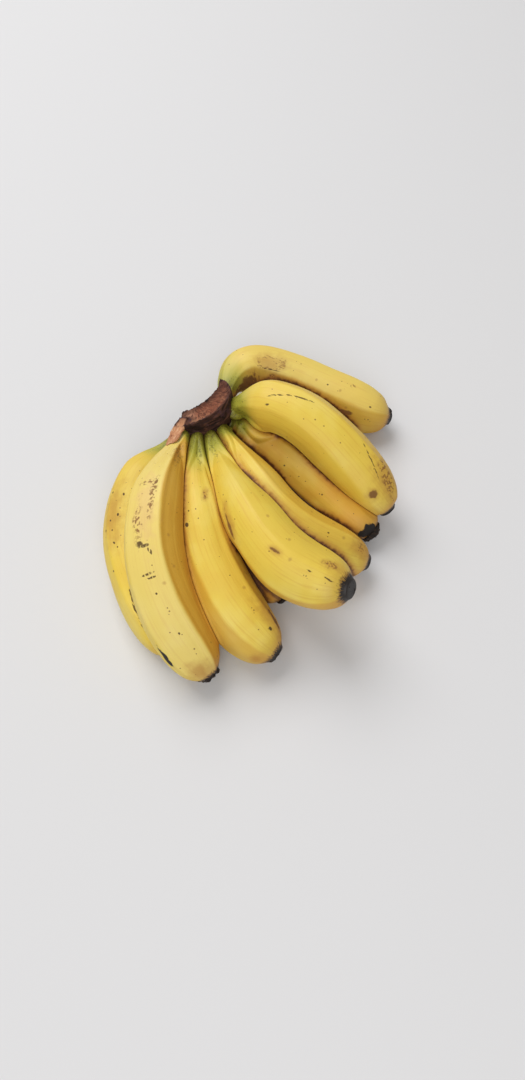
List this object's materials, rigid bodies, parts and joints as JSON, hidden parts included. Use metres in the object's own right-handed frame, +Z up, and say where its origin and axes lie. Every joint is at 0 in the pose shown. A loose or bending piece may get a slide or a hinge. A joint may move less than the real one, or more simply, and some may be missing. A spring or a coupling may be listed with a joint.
{
  "type": "hand of bananas",
  "caption": "A lying hand of short, stout ripe bananas fanned out from a curved crown, with freckled yellow peel, green necks and dried black blossom ends.",
  "frame": {"origin": "on the surface the hand lies on, under the middle of its bounding box", "axes": "+Z up; +X from the crown out over the middle fingers to their free ends; +Y to the left of them, across the fan"},
  "size_m": [0.184, 0.2278, 0.0692],
  "materials": {
    "peel": "waxy ripe banana peel, satin, with brown freckles",
    "crown": "dried, fibrous cut end of the stalk, dark leathery skin"
  },
  "bodies": {
    "root": {"finger_1_outer": "peel", "finger_2_back": "peel", "finger_3": "peel", "finger_4_inner": "peel", "finger_5_back": "peel", "finger_6": "peel", "finger_7_inner": "peel", "finger_8_back": "peel", "finger_9_outer": "peel", "crown": "crown"}
  },
  "joints": []
}
